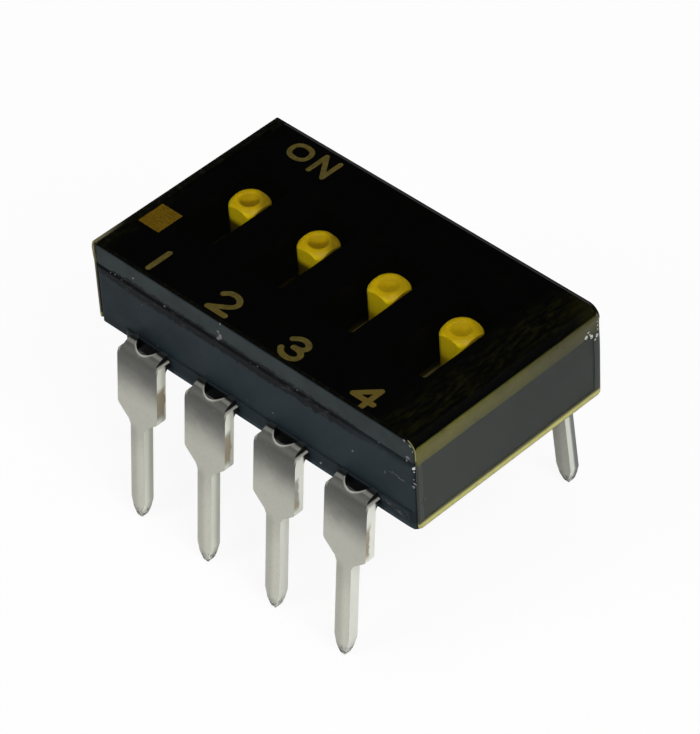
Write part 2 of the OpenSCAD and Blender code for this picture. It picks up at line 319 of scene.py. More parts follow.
class Finish:
    """A material with one Principled shader, and the nodes that feed it. Positions are in millimetres."""

    def __init__(self, name, colour, roughness, **sockets):
        self.material = bpy.data.materials.new(name)
        self.material.use_nodes = True
        self.tree = self.material.node_tree
        self.shader = self.tree.nodes["Principled BSDF"]
        self.colour(colour)
        self.roughness(roughness)
        for socket, value in sockets.items():
            self.set(self.shader, socket.replace("_", " "), value)
        self.material.diffuse_color = (*colour[:3], 1)
        coordinates = self.add("ShaderNodeTexCoord")
        metres = {0: coordinates.output("Object"), "Scale": 1 / MM}
        self.place = self.add("ShaderNodeVectorMath", metres, operation="SCALE")
        self.x, self.y, self.z = self.parts(self.place)
        # how far the surface looks to the ends, to the sides and up
        self.endward, self.sideward, self.upward = self.parts(coordinates.output("Normal"))

    def add(self, kind, inputs=(), output=0, **settings):
        """Adds a node, fills its inputs and gives one of its outputs."""
        node = self.tree.nodes.new(kind)
        for key, value in settings.items():
            setattr(node, key, value)
        for socket, value in dict(inputs).items():
            self.set(node, socket, value)
        return Value(self, node.outputs[output])

    def set(self, node, socket, value):
        """Links a value to a socket, or sets its colour, vector or number."""
        entry = node.inputs[socket]
        if isinstance(value, Value):
            self.tree.links.new(value.socket, entry)
        elif hasattr(value, "__len__"):
            size = len(entry.default_value)
            values = list(value)[:size]
            entry.default_value = values + [1.0] * (size - len(values))
        else:
            entry.default_value = value

    def parts(self, vector):
        """The three components of a vector."""
        split = self.add("ShaderNodeSeparateXYZ", {0: vector})
        return [split.output(letter) for letter in "XYZ"]

    def stretch(self, *factors):
        """The place, with each axis drawn out by its own factor."""
        return self.add("ShaderNodeVectorMath", {0: self.place, 1: factors}, operation="MULTIPLY")

    def noise(self, scale, detail=2.0, rough=0.5, vector=None):
        inputs = {"Vector": vector or self.place, "Scale": scale, "Detail": detail, "Roughness": rough}
        return self.add("ShaderNodeTexNoise", inputs, "Fac")

    def dots(self, scale, radius, share):
        """Sparse round dots: 1 inside a dot, 0 outside. The share is how many cells have one."""
        cells = self.add("ShaderNodeTexVoronoi", {"Vector": self.place, "Scale": scale}, "Distance")
        chance = self.parts(cells.output("Color"))[0]
        return cells.fade(radius, radius * 0.5) * chance.below(share)

    def within_pitch(self, first_x):
        """Place along X from the nearest switch or lead of the row that starts at first_x."""
        turns = (self.x - (first_x - PITCH / 2)).maths("DIVIDE", PITCH)
        return (turns.maths("FRACT") - 0.5) * PITCH

    def mix(self, share, a, b):
        """Colour that goes from a to b as the share goes from 0 to 1."""
        return self.add("ShaderNodeMix", {0: share, 6: a, 7: b}, 2, data_type="RGBA")

    def colour(self, value):
        self.body = value
        self.set(self.shader, "Base Color", value)

    def roughness(self, value):
        self.haze = value
        self.set(self.shader, "Roughness", value)

    def bump(self, height, depth, strength=1.0):
        """Relief of the given depth, in millimetres."""
        inputs = {"Height": height, "Distance": depth * MM, "Strength": strength}
        self.set(self.shader, "Normal", self.add("ShaderNodeBump", inputs, "Normal"))


def distance(a, b):
    """Length of the line with the two given legs."""
    return a.line(a, b * b).maths("SQRT")


def scaled(colour, factor):
    return tuple(min(1.0, c * factor) for c in colour)


def on_ends(finish):
    """1 on the end faces of the housing, 0 elsewhere."""
    return abs(finish.x).fade(BASE_HIGH.x - 0.03, BASE_HIGH.x - 0.01)


def on_level(finish):
    """1 on level faces that look up, 0 elsewhere."""
    return finish.upward.fade(0.9, 0.99)


def moulded_finish(name, colour, grain):
    """Moulded plastic: fine mould grain, faint clouds and a few pale specks of dust. The relief is calm
    where the film lies on the plastic."""
    rough = 0.46
    finish = Finish(name, colour, rough, Specular_IOR_Level=0.05)
    fine = finish.noise(grain, 3, 0.6)
    cloud = finish.noise(1.3, 2, 0.5)
    body = finish.mix(cloud.fade(0.35, 0.65), scaled(colour, 0.82), scaled(colour, 1.16))
    body = finish.mix(fine.fade(0.3, 0.75, 0, 0.45), body, scaled(colour, 1.5))
    specks = finish.dots(3.2, 0.075, 0.12) * 0.55
    finish.colour(finish.mix(specks, body, DUST))
    finish.roughness(fine.fade(0.2, 0.8, rough - 0.08, rough + 0.1))
    under_film = on_ends(finish).most(on_level(finish))
    finish.bump(fine * under_film.line(-0.98, 1.0), 0.0015)
    return finish


def seam_shadow(finish, body):
    """Darkens the ragged joint between base and cover, widest in the middle, and leaves light chips."""
    height = finish.z - (SEAM_Z - 0.07)
    slow = finish.noise(0.9, 2, 0.6).line(0.2, -0.1)
    quick = finish.noise(7, 3, 0.6).line(0.3, -0.15)
    off = abs(height + slow + quick)
    from_middle = abs(finish.x + 0.6)
    half = from_middle.fade(5.4, 3.6, 0.1, 0.22)
    dark = (off - half).fade(0.04, -0.03)
    on_side = abs(finish.y).above(COVER_HIGH.y - 0.3)
    weaker = finish.x.fade(2.6, 4.4, 1.0, 0.5)
    dark = on_side * weaker * dark
    shreds = finish.noise(6, 2, 0.6, finish.stretch(0.5, 1, 2)).fade(0.58, 0.68, 0, 0.4)
    joint = finish.mix(shreds, (0.0048, 0.0064, 0.008), (0.05, 0.055, 0.06))
    return finish.mix(dark, body, joint)


def base_finish(plastic):
    """Slate plastic of the base: dark along the joint, with painted shade round the leads and along the
    foot, and painted grey on the ends for the film's reflection of the floor.
    """
    slate = tuple(plastic.slate)
    finish = moulded_finish("base_moulding", slate, plastic.grain)
    height = finish.z
    body = finish.mix(finish.x.fade(-3.4, -1.6, 0, 0.5), finish.body, scaled(slate, 1.7))
    body = seam_shadow(finish, body)
    # painted shade along the foot below the lead line, with light flecks
    flecks = finish.noise(7, 3, 0.65).fade(0.55, 0.68)
    flecked_shade = finish.mix(flecks, (0.0035, 0.0045, 0.0055), (0.035, 0.04, 0.043))
    foot = height.fade(LEAD_TOP + 0.12, LEAD_TOP - 0.02)
    body = finish.mix(foot * 0.22, body, flecked_shade)
    body = finish.mix(height.fade(0.26, 0.14), body, scaled(slate, 2.0))

    # painted shadow on the base behind each lead and in the hole of its bend
    aside = abs(finish.within_pitch(LEAD_1_X))
    at_lead = height.fade(LEAD_TOP + 0.06, LEAD_TOP + 0.02)
    behind = aside.fade(0.86, 0.78) * at_lead
    at_hole = height.fade(LEAD_TOP, LEAD_TOP - 0.1)
    in_hole = aside.fade(HOLE_RADIUS + 0.08, HOLE_RADIUS) * at_hole
    shade = (behind * 0.3).most(in_hole * 0.95)
    body = finish.mix(shade, body, DEEP_BLACK)

    # painted reflection of the floor in the film over the ends: the ends are grey, dimmer towards the ON
    # side
    grey = (0.047, 0.060, 0.050)
    end = finish.mix(finish.y.fade(-0.5, 3.4), grey, scaled(grey, 0.62))
    finish.colour(finish.mix(on_ends(finish), body, end))
    return finish.material


def cover_finish(plastic):
    """Cover plastic: hazy on the sides, with painted shade black inside, and black where the film's adhesive
    wets the top.
    """
    finish = moulded_finish("cover_moulding", tuple(plastic.cover), plastic.grain)
    hazy = seam_shadow(finish, finish.body)
    lengthwise, outside = abs(finish.x), abs(finish.y)
    off_chamfer = outside.fade(COVER_HIGH.y - 0.01, COVER_HIGH.y - 0.045)
    wetted = finish.upward.fade(0.25, 0.42) * off_chamfer
    # painted shade: near black inside the cover
    inside_width = outside.below(COVER_HIGH.y - 0.4)
    inside = inside_width * lengthwise.below(COVER_HIGH.x - 0.5)
    finish.colour(finish.mix(inside.most(wetted), hazy, (0.0008, 0.001, 0.0011)))
    finish.roughness(finish.mix(on_level(finish), finish.haze, (0.07, 0.07, 0.07)))
    return finish.material


def resin_finish():
    colour = (0.012, 0.012, 0.012)
    finish = Finish("sealing_resin", colour, 0.22)
    flow = finish.noise(2.0, 2)
    finish.colour(finish.mix(flow.fade(0.3, 0.7), colour, scaled(colour, 1.9)))
    finish.bump(flow, 0.02)
    return finish.material


def knob_finish(plastic):
    """Yellow slider plastic, with painted shade deeper in the knob's hollow, dim on its right side, dark
    down the shaft and over the foot plate, and painted light on the flank that faces the numbers.
    """
    colour = tuple(plastic.knob)
    finish = Finish("slider_moulding", colour, 0.28, Subsurface_Weight=0.35, Specular_IOR_Level=0.15)
    finish.set(finish.shader, "Subsurface Radius", (1.0, 0.8, 0.1))
    finish.set(finish.shader, "Subsurface Scale", 0.25 * MM)
    tint = finish.noise(3.0, 2)
    body = finish.mix(tint.fade(0.35, 0.65), scaled(colour, 0.88), colour)

    across = finish.within_pitch(SWITCH_1_X)
    along = finish.y - ON_Y
    # painted shade in the knob's hollow, stronger on its near side and weaker towards switch 4
    hollow = distance(across, along).fade(0.32, 0.24)
    near_wall = (along - across).fade(0.15, -0.1)
    hollow *= near_wall.line(0.6, 0.4)
    hollow *= finish.x.fade(-1.5, 1.0, 1.0, 0.45)
    body = finish.mix(hollow, body, (0.29, 0.175, 0.002))

    # painted light on the flank that faces the numbers
    flank = finish.sideward.fade(-0.3, -0.8)
    body = finish.mix(flank, body, (1.0, 0.73, 0.008))
    # painted shade on the knob's right side, stronger at the pin 1 end
    pin_1_end = finish.x.fade(0.5, -0.5)
    rightward = across.line(0.71, along * 0.7)
    shaded = rightward.fade(0.1, 0.4) * pin_1_end.line(0.34, 0.3)
    body = finish.mix(shaded, body, (0.08, 0.055, 0.006))
    # painted shade down the shaft in the slot, starting higher up at the pin 1 end
    dim = pin_1_end * finish.z.fade(2.46, 2.2, 0, 0.92)
    deep = finish.z.fade(2.2, 1.95, 0, 0.5).most(dim)
    body = finish.mix(deep, body, (0.02, 0.012, 0.001))

    # painted shade over the foot plate under the cover: dim brown-grey, near black on its -X side
    rail = across.fade(-0.58, -0.53)
    plate = finish.mix(rail, scaled(colour, 0.02), (0.12, 0.1, 0.035))
    finish.colour(finish.mix(finish.z.fade(PLATE_TOP + 0.06, PLATE_TOP + 0.01), body, plate))
    fine = finish.noise(16, 3)
    finish.roughness(fine.fade(0.2, 0.8, 0.22, 0.36))
    finish.bump(fine, 0.002)
    return finish.material


def gold_finish(metal):
    colour = tuple(metal.gold)
    finish = Finish("gold_flash", colour, 0.3, Metallic=1.0)
    rolled = finish.noise(6, 3, 0.6, finish.stretch(8, 1, 1))
    finish.colour(finish.mix(rolled.fade(0.3, 0.7), scaled(colour, 0.8), colour))
    finish.roughness(rolled.fade(0.2, 0.8, 0.22, 0.4))
    return finish.material


def sheared_side(finish, clean, black, patches, level):
    """Bright cut side of the tinned strip, with a torn brown patch down the inner half of its shoulder."""
    height = finish.z
    outward = abs(finish.y)
    depth = height.line(LEAD_LEAN, outward) - LEAD_Y
    side = finish.mix(depth.fade(-0.09, 0.09), (0.62, 0.63, 0.54), (0.93, 0.94, 0.83))
    side = finish.mix(finish.x.fade(0, 2), side, (0.84, 0.85, 0.77))

    ragged = finish.noise(3.5, 2).line(0.2, -0.1)
    start = finish.x.fade(-3.5, 3.5, -0.13, 0.04)
    torn = (depth + ragged - start).fade(-0.03, 0.03)
    torn = torn * level.fade(-0.1, -0.35) * height.fade(-1.35, -1.1)
    brown = finish.mix(patches.fade(0.4, 0.55), scaled(clean, 0.45), (0.27, 0.21, 0.115))
    side = finish.mix(torn * 0.85, side, brown)

    far_row = finish.y.above(0)
    side = finish.mix(far_row * depth.fade(-0.04, 0.06), side, (0.2, 0.21, 0.2))
    # painted shade and dark reflection: the cut side is black where the strip lies level at the housing, and
    # high up
    level_part = outward.fade(3.68, 3.6) * height.fade(0.1, 0.2)
    return finish.mix(level_part.most(height.fade(0.36, 0.45)), side, black)


def tin_finish(metal):
    """Matte tin plate on stamped strip: painted dark reflection and shade, black where it lies level at the
    housing and darker down the shoulder from the bend, painted highlights at the bend and round the hole,
    and bright sheared sides."""
    clean, darkened = tuple(metal.tin), tuple(metal.darkened)
    black = (0.002, 0.002, 0.002)
    finish = Finish("matte_tin", clean, 0.42, Metallic=0.4)
    height = finish.z
    outward = abs(finish.y)
    across = finish.within_pitch(LEAD_1_X)
    aside = abs(across)
    patches = finish.noise(1.6, 3, 0.6)
    pores = finish.noise(14, 3, 0.65)
    # painted dark reflection at the top of the shoulder near the bend, fading to clean tin lower down
    level = height + patches.line(0.4, -0.2)
    body = finish.mix(level.fade(-1.15, 0.15), clean, darkened)
    body = finish.mix(height.fade(-3.2, -1.7, 0, 0.18), body, black)
    # painted shade down one side of the narrow leg
    leg = height.fade(-1.7, -2.1) * across.fade(0.1, -0.14, 0, 0.24)
    body = finish.mix(leg, body, black)
    body = finish.mix(pores.fade(0.58, 0.72, 0, 0.3), body, scaled(clean, 0.5))

    from_hole = distance(across, outward - HOLE_Y)
    # painted highlights: a light line at the bend, and light rims round the hole and along the strip's edges
    # high up
    bend_highlight = finish.upward.fade(0.88, 0.93) * finish.upward.fade(0.99, 0.96)
    hole_highlight = from_hole.fade(HOLE_RADIUS + 0.07, HOLE_RADIUS + 0.02)
    rim = hole_highlight.most(aside.fade(0.66, 0.71))
    rim *= height.fade(0.22, 0.4)
    rim = rim.most(bend_highlight * 0.5)
    body = finish.mix(rim * 0.6, body, clean)

    side = sheared_side(finish, clean, black, patches, level)
    body = finish.mix(abs(finish.endward).fade(0.7, 0.85), body, side)

    # painted shade and dark reflection: near black on the strip's level top at the housing and on the wall
    # of its hole
    in_hole = from_hole.fade(HOLE_RADIUS + 0.015, HOLE_RADIUS + 0.005)
    level_and_hole_shade = finish.upward.fade(0.97, 0.992).most(in_hole)
    shade_tone = finish.mix(outward.fade(3.46, 3.53), (0.03, 0.034, 0.036), (0.009, 0.009, 0.009))
    at_hole = from_hole.fade(HOLE_RADIUS + 0.025, HOLE_RADIUS + 0.015)
    shade_tone = finish.mix(at_hole, shade_tone, black)
    body = finish.mix(level_and_hole_shade * height.above(0.3), body, shade_tone)
    point = height.fade(-4.5, -4.85) * pores.fade(0.4, 0.6)
    finish.colour(finish.mix(point, body, scaled(darkened, 0.6)))
    finish.roughness(pores.fade(0.25, 0.75, 0.33, 0.56))
    finish.bump(pores, 0.003)
    return finish.material


def film_top_finish(flat, loose):
    """Film lying flat over the top: dark and clear, with olive streaks of air near the ends."""
    finish = Finish("film_over_top", flat, 0.18, Alpha=0.12, Specular_IOR_Level=0.2)
    blotch = finish.noise(1.0, 4, 0.6)
    streaks = finish.noise(2.0, 5, 0.7, finish.stretch(4.5, 0.8, 1.0))
    grain = finish.noise(9, 2, 0.6)
    near_fold = finish.x.fade(4.2, 5.0) * finish.x.fade(5.7, 5.45)
    left_low = finish.x.fade(-5.1, -5.6) * finish.y.fade(0.5, -2.8, 0, 1.6)
    corner = finish.x.fade(4.9, 5.4) * finish.y.fade(2.4, 3.1)
    air = (near_fold + left_low) * streaks.fade(0.46, 0.62)
    air = air.most(corner * streaks.fade(0.3, 0.5))
    air *= grain.fade(0.3, 0.6, 0.5, 1.0)
    faint = blotch.fade(0.55, 0.8, 0, 0.03)
    finish.colour(finish.mix(air.line(0.28, faint), flat, loose))
    finish.roughness(blotch.fade(0.3, 0.7, 0.14, 0.22))
    finish.bump(blotch, 0.004, 0.5)
    return finish.material


def film_end_finish(name, flat, alpha, share):
    """Film wrapped over the ends: painted grey for its reflection of the floor, dimmer towards the ON side,
    and brown just above its amber edge.
    """
    finish = Finish(name, flat, 0.3, Alpha=alpha, Specular_IOR_Level=0.25)
    cloud = finish.noise(0.9, 2)
    dim, pale = scaled((0.046, 0.055, 0.048), share), scaled((0.054, 0.064, 0.055), share)
    tone = finish.mix(cloud.fade(0.3, 0.7), dim, pale)
    tone = finish.mix(finish.y.fade(-3.0, 0.5), tone, scaled(dim, 0.85))
    low = finish.z.fade(FILM_LOW.z + 0.4, FILM_LOW.z + 0.2)
    finish.colour(finish.mix(low * 0.7, tone, (0.03, 0.03, 0.012)))
    finish.roughness(cloud.fade(0.3, 0.7, 0.26, 0.36))
    finish.bump(cloud, 0.006, 0.4)
    return finish.material


def film_loose_finish(loose):
    """Film loose over air at the folds: milky olive, dimmer low down and towards the ON side."""
    finish = Finish("film_over_air", loose, 0.3, Alpha=0.85, Specular_IOR_Level=0.25)
    veil = finish.noise(1.2, 3)
    fine = finish.noise(8, 2)
    tone = finish.mix(veil.fade(0.3, 0.7), scaled(loose, 0.85), scaled(loose, 1.15))
    tone = finish.mix(fine.fade(0.4, 0.7, 0, 0.3), tone, scaled(loose, 0.6))
    low = finish.z.fade(SEAM_Z + 0.3, SEAM_Z, 0, 0.35)
    tone = finish.mix(low, tone, scaled(loose, 0.5))
    far = finish.y.fade(-3.4, 3.0, 0, 0.62)
    finish.colour(finish.mix(far, tone, scaled(loose, 0.1)))
    finish.roughness(veil.fade(0.3, 0.7, 0.26, 0.4))
    finish.bump(veil, 0.008, 0.5)
    return finish.material


def film_cut_finish(edge):
    """Cut edge of the film, with a painted glow of light through it: amber in its core and along the rim of
    the folds.
    """
    finish = Finish("film_cut_edge", edge, 0.35, Alpha=0.92)
    ragged = finish.noise(5, 2)
    rise = finish.z - FILM_LOW.z
    core = rise.fade(0.0, 0.03) * rise.fade(AMBER_RISE, 0.12)
    core *= ragged.fade(0.3, 0.5, 0.7, 1.0)
    core = core.most(rise.above(0.3) * 0.45)
    finish.colour(finish.mix(core, scaled(edge, 0.14), edge))
    finish.bump(ragged, 0.004)
    return finish.material


def film_dark_finish(flat):
    """Edge of the film where it lies dark against the plastic, with a painted olive highlight at the corner
    by pin 1.
    """
    finish = Finish("film_dark_edge", flat, 0.5, Alpha=0.95, Specular_IOR_Level=0.0)
    grime = finish.noise(6, 2)
    dark = finish.mix(grime.fade(0.5, 0.7), flat, (0.007, 0.007, 0.005))
    # painted olive highlight at the film's corner by pin 1
    corner_highlight = finish.y.fade(-2.2, -3.2) * finish.x.fade(-5.6, -5.68)
    finish.colour(finish.mix(corner_highlight, dark, (0.13, 0.12, 0.065)))
    return finish.material


def film_finishes(film):
    """The film's six finishes, in the order of its material slots."""
    flat, loose, edge = (tuple(c) for c in (film.sheet_colour, film.loose_colour, film.edge_colour))
    return [
        film_top_finish(flat, loose),
        film_end_finish("film_over_end", flat, 0.42, 1.0),
        film_end_finish("film_end_side", flat, 0.95, 0.55),
        film_loose_finish(loose),
        film_cut_finish(edge),
        film_dark_finish(flat),
    ]


def ink_finish(printing):
    """Screen ink, with thin places, and worn towards switch 4."""
    colour = tuple(printing.colour)
    finish = Finish("screen_ink", colour, 0.5, Specular_IOR_Level=0.1)
    cover = finish.noise(9, 3, 0.6)
    cloud = finish.noise(2.2, 1)
    body = finish.mix(cover.fade(0.3, 0.7), scaled(colour, 0.72), scaled(colour, 1.2))
    worn = cloud.fade(0.4, 0.7, 0, 0.4).most(finish.x.fade(2.6, 3.6, 0, 0.8))
    finish.colour(finish.mix(worn, body, (0.15, 0.105, 0.018)))
    finish.bump(cover, 0.002)
    return finish.material


def mark_finish(name, colour, roughness=0.5, broken=False, **sockets):
    """Loose plastic flash, crumbs and scuffs; a broken mark lets the plastic show through in places."""
    finish = Finish(name, colour, roughness, **sockets)
    grains = finish.noise(28, 2)
    if broken:
        finish.set(finish.shader, "Alpha", finish.noise(8, 3, 0.6).fade(0.38, 0.62, 0, 0.8))
    finish.colour(finish.mix(grains.fade(0.3, 0.7), scaled(colour, 0.6), scaled(colour, 1.25)))
    finish.bump(grains, 0.004)
    return finish.material


def dress(names, material):
    """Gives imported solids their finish."""
    for name in names:
        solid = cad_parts[name]
        solid.data.materials.clear()
        solid.data.materials.append(material)


# ---- meshes ----


def new_piece(name, bm, materials, smooth=True):
    """Turns a mesh drawn in millimetres into a piece that rides on the housing."""
    bmesh.ops.recalc_face_normals(bm, faces=bm.faces)
    bmesh.ops.transform(bm, matrix=Matrix.Scale(MM, 4), verts=bm.verts)
    mesh = bpy.data.meshes.new(name)
    bm.to_mesh(mesh)
    bm.free()
    for material in materials:
        mesh.materials.append(material)
    for polygon in mesh.polygons:
        polygon.use_smooth = smooth
    piece = bpy.data.objects.new(name, mesh)
    bpy.context.scene.collection.objects.link(piece)
    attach(piece, "housing")
    return piece


def stroke_distance(x, y, strokes):
    """Distance from each point of a grid to the nearest stroke centre line."""
    best = np.full(x.shape, 1e9)
    for line in strokes:
        for (ax, ay), (bx, by) in zip(line, line[1:]):
            dx, dy = bx - ax, by - ay
            t = np.clip(((x - ax) * dx + (y - ay) * dy) / max(dx * dx + dy * dy, 1e-12), 0, 1)
            best = np.minimum(best, np.hypot(x - ax - t * dx, y - ay - t * dy))
    return best


def outlines(strokes, half_width, step=0.012):
    """Closed outlines round the strokes of one character, holes included."""
    points = [p for line in strokes for p in line]
    margin = half_width + 3 * step
    low = [min(p[i] for p in points) - margin for i in (0, 1)]
    high = [max(p[i] for p in points) + margin for i in (0, 1)]
    xs = np.arange(low[0], high[0] + step, step)
    ys = np.arange(low[1], high[1] + step, step)
    grid_x, grid_y = np.meshgrid(xs, ys, indexing="ij")
    field = half_width - stroke_distance(grid_x, grid_y, strokes)

    def crossing(i, j, k, m):
        a, b = field[i, j], field[k, m]
        t = a / (a - b)
        return xs[i] + (xs[k] - xs[i]) * t, ys[j] + (ys[m] - ys[j]) * t

    following, place = {}, {}
    for i in range(len(xs) - 1):
        for j in range(len(ys) - 1):
            corners = [(i, j), (i + 1, j), (i + 1, j + 1), (i, j + 1)]
            inside = [field[c] > 0 for c in corners]
            if all(inside) or not any(inside):
                continue
            leaving, entering = [], []
            for n in range(4):
                a, b = corners[n], corners[(n + 1) % 4]
                if inside[n] != inside[(n + 1) % 4]:
                    key = (min(a, b), max(a, b))
                    place[key] = crossing(*key[0], *key[1])
                    (leaving if inside[n] else entering).append(key)
            if len(leaving) == 2 and inside[0]:
                leaving.reverse()
            for start, end in zip(leaving, entering):
                following[start] = end
    loops = []
    while following:
        first = key = next(iter(following))
        loop = []
        while key in following:
            loop.append(place[key])
            key = following.pop(key)
        if key == first and len(loop) > 3:
            loops.append(thinned(loop, step * 0.3))
    return loops


def thinned(loop, shortest):
    """Drops points that stand closer together than the shortest edge."""
    kept = [loop[0]]
    for p in loop[1:]:
        if math.dist(p, kept[-1]) > shortest:
            kept.append(p)
    if math.dist(kept[0], kept[-1]) < shortest:
        kept.pop()
    return kept


def inside_outline(x, y, loops):
    """True where a point has ink under it: inside an outer outline and not inside a hole."""
    odd = False
    for loop in loops:
        for (ax, ay), (bx, by) in zip(loop, loop[1:] + loop[:1]):
            if (ay > y) != (by > y) and x < ax + (bx - ax) * (y - ay) / (by - ay):
                odd = not odd
    return odd


def lay_plate(bm, loops, low_z, high_z):
    """Closed thin plate between two heights, with the given outlines, the inner ones being holes."""
    points = [Vector(p) for loop in loops for p in loop]
    edges, start = [], 0
    for loop in loops:
        count = len(loop)
        edges += [(start + i, start + (i + 1) % count) for i in range(count)]
        start += count
    filled, _, triangles, *_ = delaunay_2d_cdt(points, edges, [], 0, 1e-7)
    kept = []
    for triangle in triangles:
        x, y = (sum(filled[i][k] for i in triangle) / 3 for k in (0, 1))
        if inside_outline(x, y, loops):
            kept.append(tuple(triangle))
    used = sorted({i for triangle in kept for i in triangle})
    lower, upper = ({i: bm.verts.new((*filled[i], z)) for i in used} for z in (low_z, high_z))
    sides = {(t[n], t[(n + 1) % 3]) for t in kept for n in range(3)}
    for triangle in kept:
        bm.faces.new([upper[i] for i in triangle])
        bm.faces.new([lower[i] for i in reversed(triangle)])
    for a, b in sides:
        if (b, a) not in sides:
            bm.faces.new((lower[a], lower[b], upper[b], upper[a]))


def between(a, b, c, d, t):
    """Value at share t between b and c, on the smooth line through a, b, c and d."""
    squared = 2 * a - 5 * b + 4 * c - d
    cubed = 3 * b - a - 3 * c + d
    return 0.5 * (2 * b + (c - a) * t + squared * t**2 + cubed * t**3)


def curve(points, per_span=6):
    """Smooth line through the points, which it passes in order."""
    padded = [points[0], *points, points[-1]]
    line = []
    for span in zip(padded, padded[1:], padded[2:], padded[3:]):
        for step in range(per_span):
            line.append(tuple(between(*(p[i] for p in span), step / per_span) for i in (0, 1)))
    return line + [points[-1]]


def oval(half_x, half_y, count=36):
    """Closed rounded ring line, squarer than an ellipse."""
    line = []
    for n in range(count + 1):
        angle = 2 * math.pi * n / count
        c, s = math.cos(angle), math.sin(angle)
        line.append((half_x * math.copysign(abs(c) ** 0.85, c), half_y * math.copysign(abs(s) ** 0.85, s)))
    return line


# bends of the printed figures, in units of the character height, from the middle of the character
TWO_NECK = [(-0.42, 0.30), (-0.24, 0.46), (0.02, 0.50), (0.26, 0.42), (0.40, 0.22), (0.32, 0.0)]
TWO_NECK += [(0.02, -0.22), (-0.40, -0.49)]
THREE_UPPER = [(-0.40, 0.30), (-0.20, 0.46), (0.04, 0.50), (0.26, 0.41), (0.34, 0.24), (0.18, 0.06)]
THREE_UPPER += [(-0.08, 0.02)]
THREE_LOWER = [(-0.08, 0.02), (0.20, 0.0), (0.40, -0.14), (0.40, -0.34), (0.22, -0.48), (-0.02, -0.50)]
THREE_LOWER += [(-0.26, -0.43), (-0.42, -0.26)]

# strokes of each printed character
CHARACTERS = {
    "1": [[(0.0, -0.5), (0.0, 0.5)]],
    "2": [curve(TWO_NECK), [(-0.40, -0.49), (0.44, -0.49)]],
    "3": [curve(THREE_UPPER), curve(THREE_LOWER)],
    "4": [[(0.24, -0.5), (0.24, 0.5)], [(0.24, 0.5), (-0.44, -0.17), (0.48, -0.17)]],
    "O": [oval(0.42, 0.36)],
    "N": [[(-0.34, -0.47), (-0.34, 0.47), (0.34, -0.47), (0.34, 0.47)]],
}

# what is printed: character, piece, middle on the cover, share of the full stroke
PRINTED = [
    ("1", "digit_1", (-3.94, -2.74), 1.0),
    ("2", "digit_2", (-1.45, -2.76), 1.0),
    ("3", "digit_3", (1.08, -2.80), 1.0),
    ("4", "digit_4", (3.64, -2.87), 1.0),
    ("O", "letter_o", (-4.27, 2.77), 0.88),
    ("N", "letter_n", (-3.37, 2.75), 0.88),
]
# plain rectangle by switch 1: its middle and half its sides
PIN_MARK = (-5.13, -1.55)
PIN_MARK_HALF = (0.38, 0.44)


def film_low(x):
    """Height of the film's lower edge at the end where x is."""
    return FILM_START_LEFT if x < 0 else FILM_LOW.z


def film_profile(radius, arc_steps=12, upright_steps=14, upper_steps=5, top_steps=76):
    """Middle of the film from its lower edge at the pin 1 end, over the top, to its lower edge at the
    other end: (x, z, outward direction)."""
    half = FILM_HIGH.x
    runs, turns = [], []
    for side, turn in ((-1, FILM_FOLD_LEFT), (1, radius)):
        arc_z, arc_x = FILM_HIGH.z - turn, half - turn
        turns.append(side * arc_x)
        low = film_low(side)
        start = low + AMBER_RISE
        heights = [low, low + 0.04, low + 0.12, start]
        heights += [start + (SEAM_Z - start) * n / upright_steps for n in range(1, upright_steps + 1)]
        heights += [SEAM_Z + (arc_z - SEAM_Z) * n / upper_steps for n in range(1, upper_steps + 1)]
        run = [(side * half, z, (side, 0.0)) for z in heights]
        for n in range(1, arc_steps):
            angle = math.pi / 2 * n / arc_steps
            outward = (side * math.cos(angle), math.sin(angle))
            run.append((side * (arc_x + turn * math.cos(angle)), arc_z + turn * math.sin(angle), outward))
        runs.append(run)
    step = (turns[1] - turns[0]) / top_steps
    top = [(turns[0] + step * n, FILM_HIGH.z, (0.0, 1.0)) for n in range(top_steps + 1)]
    return runs[0] + top + runs[1][::-1]


def film_rows(bm, profile, columns, thickness, corner):
    """Rows of points across the film's outer and inner faces, one of each at every place of its profile."""
    outer, inner = [], []
    for x, z, (out_x, out_z) in profile:
        rise = z - film_low(x)
        side = FILM_HIGH.y
        if abs(out_x) > 0.999 and rise < corner:
            side -= corner - math.sqrt(corner**2 - (corner - rise) ** 2)
        rows = [[], []]
        for n in range(columns + 1):
            share = (n / columns * 2 - 1) * math.pi / 2 * BUNCHING
            y = side * math.sin(share) / math.sin(math.pi / 2 * BUNCHING)
            ripple = noise.noise(Vector((x * 0.9, y * 0.9, z * 0.9 + 3)))
            fold = max(0.0, 1 - abs(abs(x) - 5.5) / 1.2)
            sink = 0.004 * max(0.0, 0.5 + ripple) * fold
            if x > FILM_HIGH.x - 0.001:
                for dent_y, dent_z, reach, depth in FILM_DENTS:
                    sink += depth * math.exp(-((y - dent_y) ** 2 + (z - dent_z) ** 2) / reach**2)
            for row, depth in zip(rows, (sink, thickness)):
                row.append(bm.verts.new((x - out_x * depth, y, z - out_z * depth)))
        outer.append(rows[0])
        inner.append(rows[1])
    return outer, inner


# slots of the film's finishes
FLAT, END, END_SIDE, AIR, CUT, DARK_CUT = range(6)


def film_slots(x, z):
    """Slots of the film at a place of its profile: over the plastic, past the plastic's edge and on the
    cut rim, and how many columns lie past the edge."""
    kind, beside, rim = FLAT, DARK_CUT, DARK_CUT
    if z < OLIVE_TOP:
        kind = beside = AIR
    if z < SEAM_Z - 0.01:
        kind, beside = END, END_SIDE
    if x > 0 and z < RIM_START:
        rim = END_SIDE
    if RIM_START < z < FILM_HIGH.z - 0.01:
        rim = CUT
    if x < 0.2 - FILM_HIGH.x and z > RIM_START:
        kind = beside = DARK_CUT
    if z < film_low(x) + AMBER_RISE:
        kind = beside = rim = CUT
    overhang = 3 if kind == END else 6 if x < 0.4 - FILM_HIGH.x else 1
    return kind, beside, rim, overhang


# ---- operators ----


